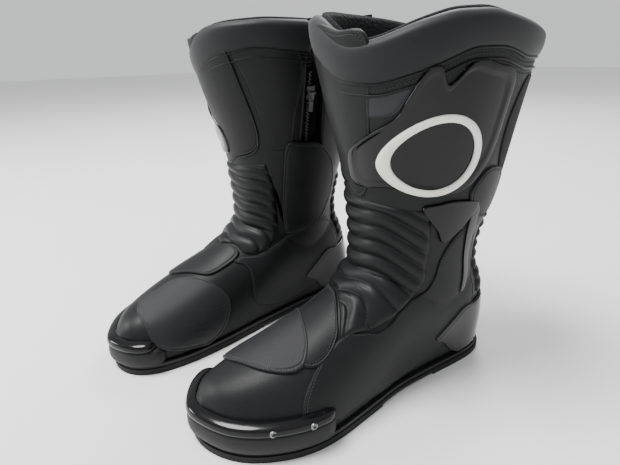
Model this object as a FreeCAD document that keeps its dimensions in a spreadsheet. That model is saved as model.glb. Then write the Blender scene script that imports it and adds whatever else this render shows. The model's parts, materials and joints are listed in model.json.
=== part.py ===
"""A pair of tall riding boots, built as separate pieces on a shared foot form and shaft form.

Every piece is modelled once, for the left boot, in that boot's own frame: the back of the heel at y = 0,
toes towards -Y, the outer side of the leg towards +X and the sole's tread at z = 0. "ahead" is the distance
in front of the heel and "outward" the distance towards the outer side. The finished pieces are then set in
the pair's frame, and the right boot is the left one mirrored. All lengths are in millimetres.
"""

import FreeCAD, Part
import os

DOC = FreeCAD.newDocument("riding_boots")
SHEET = DOC.addObject("Spreadsheet::Sheet", "dims")

DIMENSIONS = (
    # how the pair stands
    ("boot_spacing", 185.5), ("right_ahead", 33.0), ("toe_in", 3.36), ("heel_line", 159.82),
    # sole stack, bottom to top
    ("tread_low", 0.0), ("outsole_top", 6.0), ("sole_top", 10.0), ("board_low", 11.4), ("board_top", 13.2),
    ("footbed_top", 18.0), ("welt", 4.0), ("midsole_step", 1.0), ("board_margin", -4.6),
    ("footbed_margin", -9.0),
    ("arch_back", 82.0), ("arch_front", 150.0), ("arch_rise", 2.5),
    ("shank_back", 58.0), ("shank_front", 172.0), ("shank_half_width", 11.0),
    # foot
    ("upper_skin", 4.0), ("layer_gap", 0.4), ("vamp_back", 160.0), ("vamp_seam", 0.2),
    ("toe_box_skin", 1.8), ("toe_box_back", 238.0),
    ("counter_skin", 3.2), ("counter_front", 64.0), ("counter_top", 66.0), ("counter_low", 10.6),
    ("pad_skin", 2.6), ("pad_ahead", 224.0), ("pad_outward", -14.0), ("pad_radius", 40.0),
    ("slider_back", 206.0), ("slider_front", 296.0), ("slider_inner", 8.0), ("slider_reach", 7.5),
    ("slider_low", 10.6), ("slider_step", 28.0), ("slider_top", 35.0), ("strip_reach", 9.0),
    ("screw_radius", 2.2), ("screw_head_radius", 2.9), ("screw_head_height", 2.0), ("screw_depth", 4.4),
    ("screw_height", 31.5), ("well_gap", 0.2),
    ("screw_back", 228.0), ("screw_front", 258.0), ("screw_seat_back", 58.0), ("screw_seat_front", 50.0),
    # ankle
    ("ankle_ahead", 72.0), ("ankle_height", 95.0), ("ankle_tilt", 11.0), ("ankle_gap", 11.0),
    ("flex_skin", 6.0), ("front_flex_back", 110.0), ("front_flex_top", 162.0),
    ("rear_flex_front", 46.0), ("rear_flex_top", 132.0),
    # shaft layers, as depths below the outer surface
    ("shell_skin", 9.0), ("collar_proud", 2.0), ("collar_skin", 10.6), ("lining_depth", 11.0),
    ("lining_skin", 2.2),
    ("rim_ahead", 66.0), ("rim_centre", 146.0), ("rim_radius", 180.0), ("collar_radius", 139.0),
    ("lining_radius", 177.0), ("notch_half_width", 8.0), ("gusset_skin", 2.0),
    # outer guards
    ("plate_skin", 3.2), ("plate_back", 66.0), ("plate_low", 176.0), ("plate_top", 262.0),
    ("plate_inner", 8.0),
    ("badge_skin", 5.0), ("badge_ahead", 116.0), ("badge_height", 222.0), ("badge_radius", 32.0),
    ("badge_width", 7.0),
    ("brace_half_width", 12.0), ("brace_top", 175.5), ("brace_low", 66.0), ("brace_tilt", 24.0),
    ("brace_gap", 1.2), ("brace_skin", 2.8),
    ("mesh_low", 150.0), ("mesh_top", 236.0), ("mesh_front", 40.0), ("mesh_inner", -8.0),
    ("mesh_skin", 1.6),
    # zip
    ("zip_ahead", 88.0), ("zip_low", 126.0), ("zip_top", 276.0), ("zip_lean", 8.0), ("zip_low_out", 41.6),
    ("channel_half_width", 13.5), ("channel_foot", 11.0), ("channel_cut", 30.0), ("tape_half_width", 12.8),
    ("tape_gap", 0.6), ("tape_thickness", 0.8),
    ("coil_half_width", 1.9), ("coil_height", 1.4), ("slider_half_width", 5.0), ("slider_length", 13.0),
    ("slider_rest", 262.0), ("slider_body", 2.0), ("post_half_length", 1.2), ("post_height", 2.2),
    ("bar_rise", 1.3), ("pull_length", 18.0), ("pull_half_width", 2.6), ("pull_ring_wall", 0.5),
    ("pull_side_gap", 0.3),
    ("pull_thickness", 1.2), ("pull_bar_radius", 0.7), ("pull_bar_clear", 0.08), ("running_gap", 0.35),
    # closure flap
    ("flap_front", 115.0), ("flap_low", 108.0), ("flap_top", 208.0), ("flap_reach", 61.0),
    ("flap_inner", 2.2), ("flap_skin", 3.2), ("hook_skin", 0.9), ("loop_skin", 0.9), ("loop_gap", 0.1),
    ("patch_edge", 3.0),
    ("patch_inset", 12.0), ("patch_clear", 1.0),
)

# The foot form is lofted through upright sections across the foot. Each has its distance ahead of the heel,
# half width at the sole, half width at the shoulder, height of its top and shift to the outer side.
FOOT_FIELDS = ("ahead", "sole", "shoulder", "top", "outward")
FOOT_STATIONS = {
    "heel_edge": (1, 9, 8, 52, 0),
    "heel_turn": (6, 20.5, 19.5, 68, 0),
    "heel_side": (14, 29, 29, 85, 0),
    "heel_front": (24, 34, 36, 108, 0),
    "ankle_back": (40, 37, 43, 130, 0),
    "ankle_mid": (72, 38, 47, 134, 0),
    "ankle_front": (105, 39, 47, 134, 0),
    "arch_high": (130, 41, 45, 126, 0),
    "arch_mid": (150, 44, 42, 106, 1),
    "instep": (175, 48, 42, 89, 2),
    "ball_back": (205, 52, 43, 77, 3),
    "ball_front": (230, 52, 42, 68, 2),
    "toe_back": (255, 47, 38, 60, -1),
    "toe_mid": (275, 38, 31, 53, -4),
    "toe_turn": (290, 24, 20, 44, -7),
    "toe_tip": (299, 8, 7, 32, -8),
}
# where the section's points lie: part of the half width (sole share, shoulder share) and part of the height
SECTION_POINTS = ((1.0, 0.0, 0.0), (0.78, 0.25, 0.25), (0.0, 1.0, 0.62), (0.0, 0.62, 0.9))

# The shaft form is lofted through level ellipses.
SHAFT_FIELDS = ("height", "ahead", "half_depth", "half_width")
SHAFT_STATIONS = {
    "cuff": (56, 80, 60, 48),
    "shin_low": (90, 82, 60, 48.5),
    "shin_mid": (125, 82, 59.5, 50.5),
    "shin_high": (170, 78, 65.5, 56.8),
    "calf_low": (215, 77.5, 74.5, 63.1),
    "calf_mid": (260, 80, 85, 69.4),
    "calf_high": (300, 80.5, 93, 75),
    "shaft_end": (340, 81, 97, 80.6),
}

FAR = 400.0  # longer than the boot in any direction


def fill_sheet():
    """Write every driving dimension to the sheet, each under its own name."""
    rows = list(DIMENSIONS)
    for fields, stations in ((FOOT_FIELDS, FOOT_STATIONS), (SHAFT_FIELDS, SHAFT_STATIONS)):
        for station, values in stations.items():
            rows += [(f"{station}_{field}", value) for field, value in zip(fields, values)]
    for row, (alias, value) in enumerate(rows, start=1):
        SHEET.set(f"A{row}", alias)
        SHEET.set(f"B{row}", str(value))
        SHEET.setAlias(f"B{row}", alias)
    DOC.recompute()


def size(alias):
    """A driving dimension's value."""
    return float(SHEET.get(alias))


def bind(item, **expressions):
    """Bind properties to sheet expressions; double underscores stand for the dots of a property path."""
    for path, expression in expressions.items():
        item.setExpression(path.replace("__", "."), str(expression))
    return item


def turned(axis, degrees):
    """A placement that only turns about one axis."""
    return FreeCAD.Placement(FreeCAD.Vector(), FreeCAD.Rotation(FreeCAD.Vector(*axis), degrees))


def block(name, ahead, outward, height):
    """A box between two distances ahead, two outward and two heights, each a pair of sheet expressions."""
    box = DOC.addObject("Part::Box", name)
    return bind(box, Placement__Base__x=outward[0], Placement__Base__y=f"-({ahead[1]})",
                Placement__Base__z=height[0], Length=f"({outward[1]}) - ({outward[0]})",
                Width=f"({ahead[1]}) - ({ahead[0]})", Height=f"({height[1]}) - ({height[0]})")


def above(name, ahead, height, tilt):
    """Everything above a plane that rises towards the toes by tilt degrees through one line."""
    box = DOC.addObject("Part::Box", name)
    box.Placement = turned((1, 0, 0), -1)
    return bind(box, Placement__Base__x=-FAR, Placement__Base__y=f"-({ahead}) - {FAR} * cos(({tilt}) * 1deg)",
                Placement__Base__z=f"({height}) + {FAR} * sin(({tilt}) * 1deg)",
                Placement__Rotation__Angle=f"-({tilt})", Length=2 * FAR, Width=2 * FAR, Height=2 * FAR)


def crosswise(name, ahead, height, radius, outward=(-FAR, FAR)):
    """A cylinder that lies across the boot, centred at a distance ahead and a height."""
    cylinder = DOC.addObject("Part::Cylinder", name)
    cylinder.Placement = turned((0, 1, 0), 90)
    return bind(cylinder, Placement__Base__x=outward[0], Placement__Base__y=f"-({ahead})",
                Placement__Base__z=height, Radius=radius, Height=f"({outward[1]}) - ({outward[0]})")


def upright(name, ahead, outward, radius, height):
    """An upright cylinder between two heights."""
    cylinder = DOC.addObject("Part::Cylinder", name)
    return bind(cylinder, Placement__Base__x=outward, Placement__Base__y=f"-({ahead})",
                Placement__Base__z=height[0], Radius=radius, Height=f"({height[1]}) - ({height[0]})")


def cut(name, base, *tools):
    """The base without the tools."""
    for count, tool in enumerate(tools, start=1):
        last = count == len(tools)
        step = DOC.addObject("Part::Cut", name if last else f"{name}_step_{count}")
        step.Base, step.Tool = base, tool
        base = step
    return base


def common(name, base, *tools):
    """What the base and every tool share."""
    for count, tool in enumerate(tools, start=1):
        last = count == len(tools)
        step = DOC.addObject("Part::Common", name if last else f"{name}_share_{count}")
        step.Base, step.Tool = base, tool
        base = step
    return base


def fuse(name, *shapes):
    """Several shapes as one."""
    joined = DOC.addObject("Part::MultiFuse", name)
    joined.Shapes = list(shapes)
    return joined


def group(name, *shapes):
    """Several separate solids as one piece."""
    bundle = DOC.addObject("Part::Compound", name)
    bundle.Links = list(shapes)
    return bundle


def foot_section(station, inset):
    """One upright section of the foot form: an arched curve closed by a straight line at the sole."""
    values = {field: size(f"{station}_{field}") for field in FOOT_FIELDS}
    middle = size("toe_tip_ahead") / 2
    ahead = middle + (values["ahead"] - middle) * (1 - inset / middle)
    floor = size("sole_top")
    rise = values["top"] - inset - floor
    half = []
    for sole_share, shoulder_share, height_share in SECTION_POINTS:
        width = values["sole"] * sole_share + values["shoulder"] * shoulder_share
        half.append((max(width - inset * (sole_share + shoulder_share), 1.0), floor + rise * height_share))
    points = [FreeCAD.Vector(values["outward"] + width, -ahead, z) for width, z in half]
    points.append(FreeCAD.Vector(values["outward"], -ahead, floor + rise))
    points += [FreeCAD.Vector(values["outward"] - width, -ahead, z) for width, z in reversed(half)]
    arch = Part.BSplineCurve()
    arch.interpolate(points)
    return Part.Wire([arch.toShape(), Part.LineSegment(points[-1], points[0]).toShape()])


def foot_form(name, inset=0.0):
    """The solid foot shape, inside the outer surface by inset, standing on the midsole."""
    form = DOC.addObject("Part::Feature", name)
    form.Shape = Part.makeLoft([foot_section(station, inset) for station in FOOT_STATIONS], True, False)
    return form


def sole_slab(name, margin, low, high):
    """A flat slab with the sole's outline, grown by margin, between two heights."""
    stations = list(FOOT_STATIONS)
    spread = 1 + margin / (size("toe_tip_ahead") / 2)
    middle = size("toe_tip_ahead") / 2

    def edge(station, side, share=1.0):
        ahead = middle + (size(f"{station}_ahead") - middle) * spread
        width = (size(f"{station}_sole") + margin) * share
        return FreeCAD.Vector(size(f"{station}_outward") + side * width, -ahead, low)

    points = [edge(stations[0], 0)]
    points += [edge(station, 1) for station in stations[1:-1]]
    points += [edge(stations[-1], 0)]
    points += [edge(station, -1) for station in reversed(stations[1:-1])]
    outline = Part.BSplineCurve()
    outline.interpolate(points, PeriodicFlag=True)
    slab = DOC.addObject("Part::Feature", name)
    slab.Shape = Part.Face(Part.Wire(outline.toShape())).extrude(FreeCAD.Vector(0, 0, high - low))
    return slab


def shaft_form(name, inset):
    """The solid shaft shape, inside the outer surface by the expression inset."""
    rings = []
    for station in SHAFT_STATIONS:
        ring = DOC.addObject("Part::Ellipse", f"{name}_{station}")
        ring.Placement = turned((0, 0, 1), 90)
        rings.append(bind(ring, MajorRadius=f"dims.{station}_half_depth - ({inset})",
                          MinorRadius=f"dims.{station}_half_width - ({inset})",
                          Placement__Base__y=f"-dims.{station}_ahead",
                          Placement__Base__z=f"dims.{station}_height"))
    form = DOC.addObject("Part::Loft", name)
    form.Sections = rings
    form.Solid = True
    return form


def shaft_layer(name, outer, skin):
    """A layer of the shaft that starts at one depth below the outer surface and has a thickness."""
    outside = shaft_form(f"{name}_outside", outer)
    return cut(name, outside, shaft_form(f"{name}_inside", f"({outer}) + ({skin})"))


def sole_parts():
    """Outsole, midsole, shank, insole board and footbed, bottom to top."""
    tread = sole_slab("tread_slab", size("welt"), size("tread_low"), size("outsole_top"))
    arch = block("arch_relief", ("dims.arch_back", "dims.arch_front"), (-FAR, FAR),
                 ("dims.tread_low - 1", "dims.arch_rise"))
    shank_bar = block("shank", ("dims.shank_back", "dims.shank_front"),
                      ("-dims.shank_half_width", "dims.shank_half_width"),
                      ("dims.sole_top", "dims.board_low"))
    return {
        "outsole": cut("outsole", tread, arch),
        "midsole": sole_slab("midsole", size("welt") - size("midsole_step"), size("outsole_top"), size("sole_top")),
        "shank": shank_bar,
        "insole_board": sole_slab("insole_board", size("board_margin"), size("board_low"), size("board_top")),
        "footbed": sole_slab("footbed", size("footbed_margin"), size("board_top"), size("footbed_top")),
    }


def foot_parts(foot, above_ankle):
    """Leather vamp and quarters, toe box, heel counter, shift pad and the toe slider with its screws."""
    gap = size("layer_gap")
    clearance = foot_form("foot_clearance", -gap)
    upper = cut("upper_skin", foot, foot_form("foot_hollow", size("upper_skin")), above_ankle)
    vamp_zone = block("vamp_zone", ("dims.vamp_back + dims.vamp_seam", FAR), (-FAR, FAR), (0, FAR))
    quarter_zone = block("quarter_zone", (-FAR, "dims.vamp_back"), (-FAR, FAR), (0, FAR))
    box_depth = size("upper_skin") + gap
    toe_wall = cut("toe_wall", foot_form("toe_wall_outside", box_depth),
                   foot_form("toe_wall_inside", box_depth + size("toe_box_skin")))
    toe_zone = block("toe_zone", ("dims.toe_box_back", FAR), (-FAR, FAR), ("dims.board_top + dims.layer_gap", FAR))
    counter_zone = block("counter_zone", (-FAR, "dims.counter_front"), (-FAR, FAR), ("dims.counter_low", FAR))
    counter_wall = cut("counter_wall", foot_form("counter_outside", -gap - size("counter_skin")), clearance)
    counter_cap = above("counter_cap", "dims.counter_front", "dims.counter_top", "dims.ankle_tilt")
    pad_wall = cut("pad_wall", foot_form("pad_outside", -gap - size("pad_skin")), clearance)
    pad_zone = upright("pad_zone", "dims.pad_ahead", "dims.pad_outward", "dims.pad_radius",
                       ("dims.slider_top + 1", FAR))
    return {
        "vamp": common("vamp", upper, vamp_zone),
        "quarters": common("quarters", upper, quarter_zone),
        "toe_box": common("toe_box", toe_wall, toe_zone),
        "heel_counter": cut("heel_counter", common("counter_shell", counter_wall, counter_zone), counter_cap),
        "shift_pad": common("shift_pad", pad_wall, pad_zone),
        **toe_slider_parts(clearance),
    }


def toe_slider_parts(clearance):
    """The replaceable slider on the outer edge of the toe: body, wear strip and two screws."""
    zone = (("dims.slider_back", "dims.slider_front"), ("dims.slider_inner", FAR))
    body_zone = block("slider_body_zone", *zone, ("dims.slider_low", "dims.slider_step"))
    strip_zone = block("slider_strip_zone", *zone, ("dims.slider_step", "dims.slider_top"))
    body_slab = sole_slab("slider_body_slab", size("slider_reach"), 0.0, size("slider_top"))
    strip_slab = sole_slab("slider_strip_slab", size("strip_reach"), 0.0, size("slider_top"))
    body = common("slider_body_blank", body_slab, body_zone)
    strip = common("slider_strip_blank", strip_slab, strip_zone)
    holes, screws = [], []
    for place in ("back", "front"):
        along = (f"dims.screw_{place}", "dims.screw_height")
        out = f"dims.screw_seat_{place}"
        shank = crosswise(f"screw_shank_{place}", *along, "dims.screw_radius", (f"{out} - dims.screw_depth", out))
        head = crosswise(f"screw_head_{place}", *along, "dims.screw_head_radius",
                         (out, f"{out} + dims.screw_head_height"))
        screws.append(fuse(f"screw_{place}", shank, head))
        holes.append(crosswise(f"screw_hole_{place}", *along, "dims.screw_radius",
                               (f"{out} - dims.screw_depth", out)))
        holes.append(crosswise(f"screw_well_{place}", *along, "dims.screw_head_radius + dims.well_gap",
                               (out, FAR)))
    return {
        "toe_slider_body": cut("toe_slider_body", body, clearance),
        "toe_slider_strip": cut("toe_slider_strip", strip, clearance, *holes),
        "toe_slider_screws": group("toe_slider_screws", *screws),
    }


def ankle_parts(above_ankle, windows):
    """The two accordion panels that let the shaft bend over the foot."""
    wall = common("flex_wall", shaft_layer("flex_layer", "0", "dims.flex_skin"), above_ankle)
    return {f"{side}_flex_panel": common(f"{side}_flex_panel", wall, window) for side, window in windows.items()}


def shaft_parts(above_edge, windows):
    """Padded shell, collar, gusset, lining and the stretch panel at the back of the calf."""
    rim = crosswise("rim_cut", "dims.rim_ahead", "dims.rim_centre", "dims.rim_radius")
    below_collar = crosswise("collar_cut", "dims.rim_ahead", "dims.rim_centre", "dims.collar_radius")
    collar_bed = crosswise("collar_bed", "dims.rim_ahead", "dims.rim_centre", "dims.collar_radius + dims.layer_gap")
    lining_rim = crosswise("lining_rim", "dims.rim_ahead", "dims.rim_centre", "dims.lining_radius")
    notch = block("notch", ("dims.zip_ahead - dims.notch_half_width", "dims.zip_ahead + dims.notch_half_width"),
                  (-FAR, 0), ("dims.calf_mid_height", FAR))
    notch_fill = block("notch_fill", ("dims.zip_ahead - dims.notch_half_width + dims.layer_gap",
                                      "dims.zip_ahead + dims.notch_half_width - dims.layer_gap"),
                       (-FAR, 0), ("dims.calf_mid_height", FAR))
    shell_ring = common("shell_ring", shaft_layer("shell_layer", "0", "dims.shell_skin"), above_edge, below_collar)
    collar_ring = common("collar_ring", shaft_layer("collar_layer", "-dims.collar_proud",
                                                    "dims.collar_skin + dims.collar_proud"), rim)
    gusset_ring = common("gusset_ring", shaft_layer("gusset_layer", "dims.shell_skin / 2", "dims.gusset_skin"), lining_rim)
    lining_ring = shaft_layer("lining_layer", "dims.lining_depth", "dims.lining_skin")
    mesh_ring = shaft_layer("mesh_layer", "-dims.layer_gap - dims.mesh_skin", "dims.mesh_skin")
    mesh_zone = block("mesh_zone", (-FAR, "dims.mesh_front"), ("dims.mesh_inner", FAR), ("dims.mesh_low", "dims.mesh_top"))
    return {
        "shaft_shell": cut("shaft_shell", shell_ring, *windows.values(), zip_channel()),
        "collar_pad": cut("collar_pad", collar_ring, collar_bed, notch),
        "collar_gusset": common("collar_gusset", cut("gusset_strip", gusset_ring, collar_bed), notch_fill),
        "shaft_lining": common("shaft_lining", lining_ring, above_edge, lining_rim),
        "rear_stretch_panel": common("rear_stretch_panel", mesh_ring, mesh_zone),
    }


def guard_parts():
    """Moulded shin plate with its raised badge, and the ankle brace, on the outer side."""
    plate_zone = block("plate_zone", ("dims.plate_back", FAR), ("dims.plate_inner", FAR),
                       ("dims.plate_low", "dims.plate_top"))
    plate_wall = shaft_layer("plate_layer", "-dims.layer_gap - dims.plate_skin", "dims.plate_skin")
    badge_wall = shaft_layer("badge_layer", "-dims.layer_gap - dims.badge_skin",
                             "dims.badge_skin - dims.plate_skin")
    at = ("dims.badge_ahead", "dims.badge_height")
    badge_ring = cut("badge_ring", crosswise("badge_outside", *at, "dims.badge_radius", (0, FAR)),
                     crosswise("badge_inside", *at, "dims.badge_radius - dims.badge_width", (0, FAR)))
    brace_wall = shaft_layer("brace_layer", "-dims.brace_gap - dims.brace_skin", "dims.brace_skin")
    below_collar = crosswise("plate_trim", "dims.rim_ahead", "dims.rim_centre",
                             "dims.collar_radius - dims.layer_gap")
    brace_zone = DOC.addObject("Part::Box", "brace_zone")
    brace_zone.Placement = turned((1, 0, 0), 1)
    bind(brace_zone, Placement__Rotation__Angle="dims.brace_tilt", Placement__Base__x=0,
         Placement__Base__y="-dims.ankle_ahead - dims.brace_half_width", Placement__Base__z="dims.brace_low",
         Length=FAR, Width="2 * dims.brace_half_width", Height=FAR)
    brace_band = block("brace_band", (-FAR, FAR), (0, FAR), ("dims.brace_low", "dims.brace_top"))
    return {
        "shin_plate": common("shin_plate", plate_wall, plate_zone, below_collar),
        "plate_badge": common("plate_badge", badge_wall, badge_ring),
        "ankle_brace": common("ankle_brace", brace_wall, brace_zone, brace_band),
    }


def on_zip(name, along, across, depth):
    """A box on the zip line: along from its lower end, across it and in depth below the outer surface."""
    box = DOC.addObject("Part::Box", name)
    box.Placement = turned((0, 1, 0), -1)
    lean = "dims.zip_lean * 1deg"
    inward, rise = f"({depth[1]})", f"({along[0]})"
    return bind(box, Placement__Rotation__Angle="-dims.zip_lean",
                Placement__Base__x=f"-dims.zip_low_out - dims.shell_skin + {inward} * cos({lean})"
                f" - {rise} * sin({lean}) - (({depth[1]}) - ({depth[0]})) * cos({lean})",
                Placement__Base__y=f"-dims.zip_ahead + ({across[0]})",
                Placement__Base__z=f"dims.zip_low + {rise} * cos({lean}) + ({depth[0]}) * sin({lean})",
                Length=f"({depth[1]}) - ({depth[0]})", Width=f"({across[1]}) - ({across[0]})",
                Height=f"({along[1]}) - ({along[0]})")


def zip_channel():
    """The slot through the shell that the zip lies in."""
    along = ("-dims.channel_foot", "dims.zip_top - dims.zip_low + dims.channel_cut")
    across = ("-dims.channel_half_width", "dims.channel_half_width")
    return on_zip("zip_channel", along, across, ("-dims.channel_cut", "dims.channel_cut"))


def zip_parts():
    """Two tapes, two coils, the slider and its pull."""
    length = "(dims.zip_top - dims.zip_low)"
    floor = "dims.shell_skin"
    tapes, coils = [], []
    for side, sign in (("front", "-"), ("rear", "")):
        near, far = f"{sign}dims.tape_gap / 2", f"{sign}dims.tape_half_width"
        edge = f"{sign}dims.coil_half_width"
        spans = [(far, near), (edge, near)] if sign else [(near, far), (near, edge)]
        tapes.append(on_zip(f"zip_tape_{side}", (1, length), spans[0], (f"{floor} - dims.tape_thickness", floor)))
        coils.append(on_zip(f"zip_coil_{side}", (2, f"{length} - 1"), spans[1],
                            (f"{floor} - dims.tape_thickness - dims.coil_height", f"{floor} - dims.tape_thickness")))
    return {"zip_tapes": group("zip_tapes", *tapes), "zip_coils": group("zip_coils", *coils), **slider_parts()}


def slider_parts():
    """The slider straddles the coils and carries a bar that the pull hangs from."""
    rest = "(dims.slider_rest - dims.zip_low)"
    coil_top = "(dims.shell_skin - dims.tape_thickness - dims.coil_height)"
    tape_top = "(dims.shell_skin - dims.tape_thickness)"
    width = ("-dims.slider_half_width", "dims.slider_half_width")
    along = (f"{rest} - dims.slider_length", rest)
    blank = on_zip("slider_blank", along, width, (f"{coil_top} - dims.slider_body", f"{tape_top} - dims.running_gap"))
    tunnel = on_zip("slider_tunnel", (f"{rest} - {FAR}", f"{rest} + {FAR}"),
                    ("-dims.coil_half_width - dims.running_gap", "dims.coil_half_width + dims.running_gap"),
                    (f"{coil_top} - dims.running_gap", FAR))
    top = f"({coil_top} - dims.slider_body)"
    bar_depth = f"({top} - dims.bar_rise)"
    middle = f"({rest} - dims.slider_length / 2)"
    inner = "dims.pull_half_width + dims.pull_side_gap"
    post_along = (f"{middle} - dims.post_half_length", f"{middle} + dims.post_half_length")
    posts = [on_zip(f"slider_post_{side}", post_along, span, (f"{top} - dims.post_height", top))
             for side, span in (("front", ("-dims.slider_half_width", f"-({inner})")),
                                ("rear", (inner, "dims.slider_half_width")))]
    bar = zip_bar("slider_bar", middle, bar_depth, "dims.pull_bar_radius", "dims.slider_half_width - 0.5")
    eye = zip_bar("pull_eye", middle, bar_depth, "dims.pull_bar_radius + dims.pull_bar_clear",
                  "dims.slider_half_width + 1")
    tab = on_zip("pull_tab", (f"{middle} - dims.pull_length", middle),
                 ("-dims.pull_half_width", "dims.pull_half_width"),
                 (f"{bar_depth} - dims.pull_thickness / 2", f"{bar_depth} + dims.pull_thickness / 2"))
    ring = zip_bar("pull_ring", middle, bar_depth, "dims.pull_bar_radius + dims.pull_ring_wall", "dims.pull_half_width")
    return {
        "zip_slider": fuse("zip_slider", cut("slider_saddle", blank, tunnel), bar, *posts),
        "zip_pull": cut("zip_pull", fuse("pull_blank", tab, ring), eye),
    }


def zip_bar(name, along, depth, radius, half_length):
    """A round bar across the zip."""
    bar = DOC.addObject("Part::Cylinder", name)
    bar.Placement = turned((1, 0, 0), 90)
    lean = "dims.zip_lean * 1deg"
    return bind(bar, Radius=radius, Height=f"2 * ({half_length})",
                Placement__Base__x=f"-dims.zip_low_out - dims.shell_skin + ({depth}) * cos({lean})"
                f" - ({along}) * sin({lean})",
                Placement__Base__y=f"-dims.zip_ahead + ({half_length})",
                Placement__Base__z=f"dims.zip_low + ({along}) * cos({lean}) + ({depth}) * sin({lean})")


def flap_parts():
    """The flap that wraps back over the zip, its hook patch and the loop patch it closes on."""
    middle = "(dims.flap_low + dims.flap_top) / 2"
    back = "dims.flap_front - dims.flap_reach"
    wall = shaft_layer("flap_layer", "-dims.flap_inner - dims.flap_skin", "dims.flap_skin")
    hook_wall = shaft_layer("hook_layer", "-dims.flap_inner", "dims.hook_skin")
    loop_wall = shaft_layer("loop_layer", "-dims.loop_skin - dims.loop_gap", "dims.loop_skin")
    outline = crosswise("flap_outline", "dims.flap_front", middle, "dims.flap_reach", (-FAR, 0))
    band = block("flap_band", (back, "dims.flap_front"), (-FAR, 0), ("dims.flap_low", "dims.flap_top"))
    patch_round = crosswise("patch_outline", "dims.flap_front", middle, "dims.flap_reach - dims.patch_edge",
                            (-FAR, 0))
    patch_front = "dims.zip_ahead - dims.channel_half_width - dims.patch_clear"
    patch_band = block("patch_band", (back, patch_front), (-FAR, 0),
                       ("dims.flap_low + dims.patch_inset", "dims.flap_top - dims.patch_inset"))
    return {
        "closure_flap": common("closure_flap", wall, outline, band),
        "hook_patch": common("hook_patch", hook_wall, patch_round, patch_band),
        "loop_patch": common("loop_patch", loop_wall, patch_round, patch_band),
    }


def boot_parts():
    """Every piece of the left boot, by name, in the boot's own frame."""
    foot = foot_form("foot_outside")
    tilt = "dims.ankle_tilt"
    above_ankle = above("above_ankle", "dims.ankle_ahead", "dims.ankle_height", tilt)
    above_flex = above("above_flex", "dims.ankle_ahead", "dims.ankle_height + dims.layer_gap", tilt)
    above_edge = above("above_edge", "dims.ankle_ahead", "dims.ankle_height + dims.ankle_gap", tilt)
    windows = {
        "front": block("front_window", ("dims.front_flex_back", FAR), (-FAR, FAR), (0, "dims.front_flex_top")),
        "rear": block("rear_window", (-FAR, "dims.rear_flex_front"), (-FAR, FAR), (0, "dims.rear_flex_top")),
    }
    gap = "dims.layer_gap"
    fills = {
        "front": block("front_fill", (f"dims.front_flex_back + {gap}", FAR), (-FAR, FAR),
                       (0, f"dims.front_flex_top - {gap}")),
        "rear": block("rear_fill", (-FAR, f"dims.rear_flex_front - {gap}"), (-FAR, FAR),
                      (0, f"dims.rear_flex_top - {gap}")),
    }
    return {
        **sole_parts(), **foot_parts(foot, above_ankle), **ankle_parts(above_flex, fills),
        **shaft_parts(above_edge, windows), **guard_parts(), **zip_parts(), **flap_parts(),
    }


def set_pair(parts):
    """Place each left piece in the pair's frame and mirror it for the right boot."""
    pair = {}
    for name, piece in parts.items():
        left = DOC.addObject("Part::Compound", f"left_{name}")
        left.Links = [piece]
        left.Placement = turned((0, 0, 1), -1)
        pair[f"left_{name}"] = bind(left, Placement__Base__x="dims.boot_spacing / 2",
                                    Placement__Base__y="dims.heel_line", Placement__Rotation__Angle="-dims.toe_in")
        right = DOC.addObject("Part::Mirroring", f"right_{name}")
        right.Source = left
        right.Normal = FreeCAD.Vector(1, 0, 0)
        pair[f"right_{name}"] = bind(right, Placement__Base__y="-dims.right_ahead")
    for name, piece in pair.items():
        piece.Label = name
    return pair


def check(pair):
    """Stop if any object of the document failed or any finished piece is not a sound solid."""
    failed = [item.Label for item in DOC.Objects if "Invalid" in item.State or "Error" in item.State]
    unsound = [name for name, piece in pair.items()
               if piece.Shape.isNull() or not piece.Shape.isValid() or not piece.Shape.Solids]
    if failed or unsound:
        raise RuntimeError(f"failed objects: {failed}; unsound pieces: {unsound}")


def export(pair):
    """Write one STEP file for each piece."""
    os.makedirs("parts", exist_ok=True)
    for name, piece in pair.items():
        piece.Shape.exportStep(f"parts/{name}.step")
        solids = len(piece.Shape.Solids)
        print(f"{name}: {solids} solid(s), {piece.Shape.Volume / 1000:.2f} cm3")
    box = FreeCAD.BoundBox()
    for piece in pair.values():
        box.add(piece.Shape.BoundBox)
    print("pair box", [round(value, 2) for value in (box.XMin, box.YMin, box.ZMin, box.XMax, box.YMax, box.ZMax)])


def main():
    fill_sheet()
    pair = set_pair(boot_parts())
    DOC.recompute()
    check(pair)
    export(pair)


main()
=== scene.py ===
"""Looks of a pair of tall riding boots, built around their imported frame.

Lengths are millimetres until a mesh is made. A place on a boot's skin is a station and a turn: the station
counts STEP-long steps down the leg, round the instep and on to the toe, and the turn is in degrees round the
leg or foot, 0 at the front or top, 90 on the outer side, -90 on the inner side and 180 at the back or under
the sole.
"""
import json
import math
import bmesh
import bpy
import numpy as np
from mathutils import Matrix, Vector
from mathutils.bvhtree import BVHTree


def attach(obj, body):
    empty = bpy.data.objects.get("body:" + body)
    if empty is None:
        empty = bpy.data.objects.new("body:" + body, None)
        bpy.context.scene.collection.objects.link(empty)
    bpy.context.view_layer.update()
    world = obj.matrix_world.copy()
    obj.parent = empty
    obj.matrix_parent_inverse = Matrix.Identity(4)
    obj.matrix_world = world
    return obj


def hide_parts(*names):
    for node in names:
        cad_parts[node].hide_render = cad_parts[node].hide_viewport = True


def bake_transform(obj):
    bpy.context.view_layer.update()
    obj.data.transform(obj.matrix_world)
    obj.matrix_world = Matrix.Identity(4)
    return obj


bl_info = {
    "name": "Riding boots",
    "version": (1, 0, 0),
    "blender": (4, 5, 0),
    "location": "View3D > Sidebar > Boots",
    "description": "Builds the leather, guards, seams and zips of a pair of riding boots",
    "category": "Object",
}

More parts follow.
